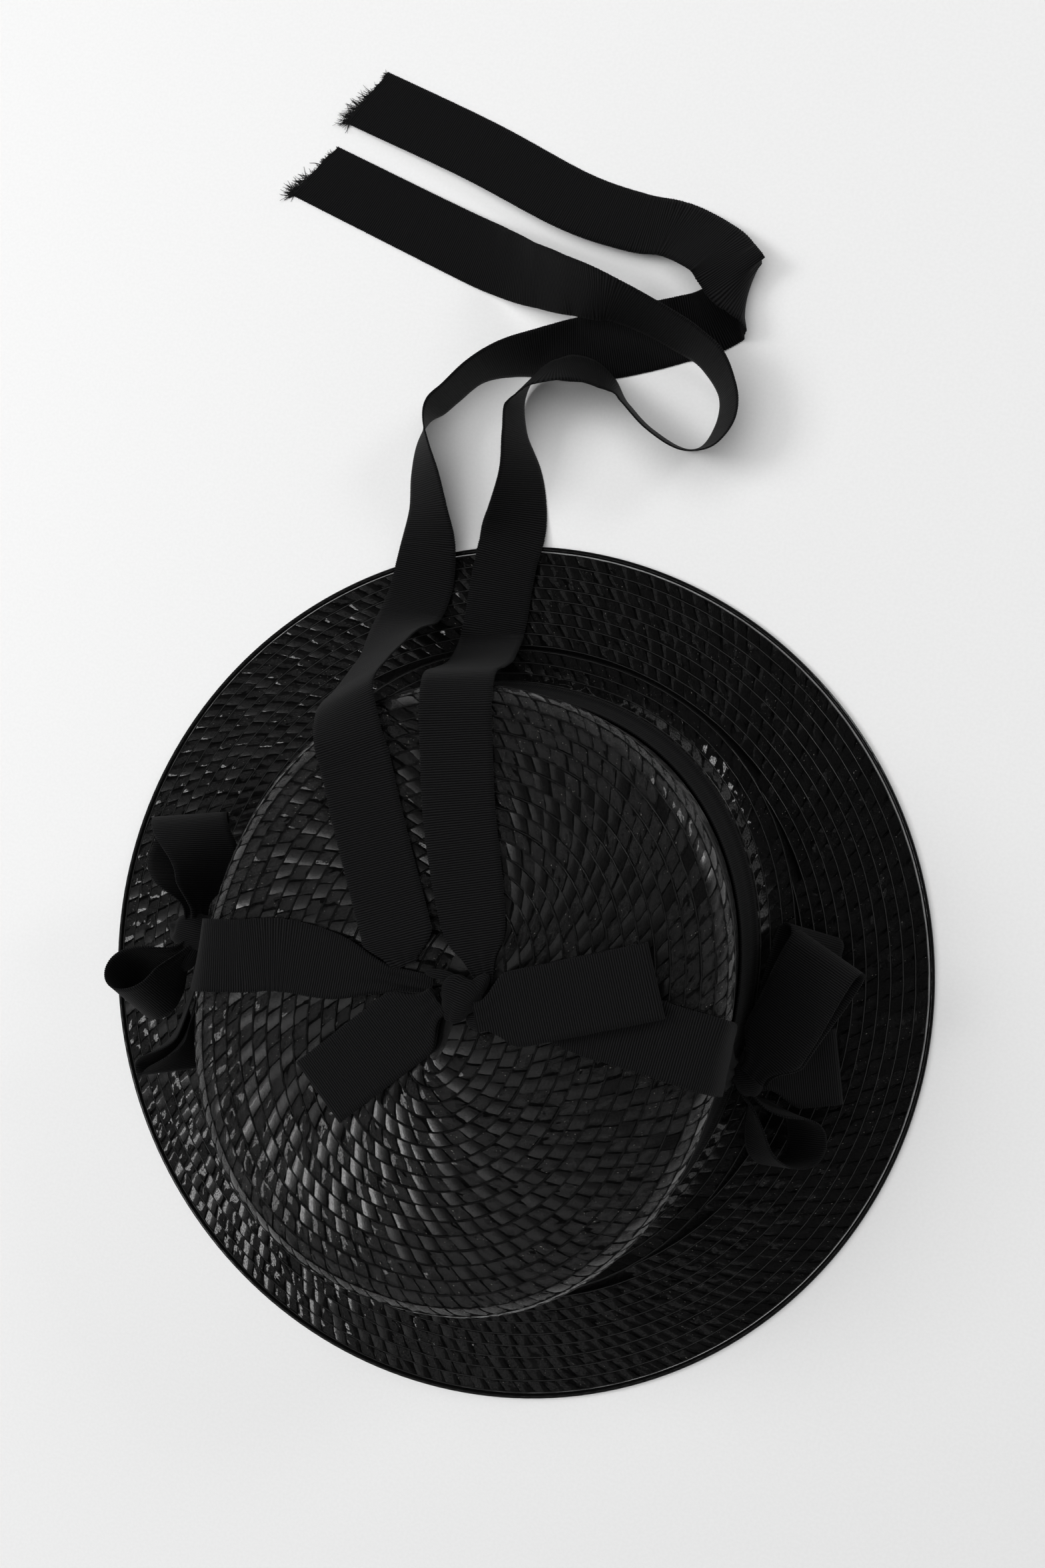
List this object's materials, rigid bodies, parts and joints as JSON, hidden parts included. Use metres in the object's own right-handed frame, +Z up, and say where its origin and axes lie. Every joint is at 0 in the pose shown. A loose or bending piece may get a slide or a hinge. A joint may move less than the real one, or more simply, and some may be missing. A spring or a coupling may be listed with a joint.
{
  "type": "boater hat",
  "caption": "Stiff straw boater hat with a flat brim, a low oval crown, a ribbon band, a ribbon over the crown, bows and long loose tails.",
  "frame": {"origin": "middle of the head opening, on the surface that the brim rests on", "axes": "+Z up through the crown, +Y to the hat's back, where the tails leave, +X across the hat"},
  "size_m": [0.3115, 0.473, 0.0906],
  "materials": {
    "straw": "glossy dyed straw plait",
    "grosgrain": "matte ribbed ribbon"
  },
  "bodies": {
    "root": {"crown": "straw", "brim": "straw", "brim_edge": "straw", "hat_band": "grosgrain", "cross_band_left": "grosgrain", "cross_band_right": "grosgrain", "tail_left": "grosgrain", "tail_right": "grosgrain", "top_knot": "grosgrain", "top_loop_left": "grosgrain", "top_loop_right": "grosgrain", "left_knot": "grosgrain", "left_loop_back": "grosgrain", "left_loop_side": "grosgrain", "left_loop_front": "grosgrain", "right_knot": "grosgrain", "right_loop_back": "grosgrain", "right_loop_under": "grosgrain", "right_loop_side": "grosgrain", "right_loop_front": "grosgrain"}
  },
  "joints": []
}
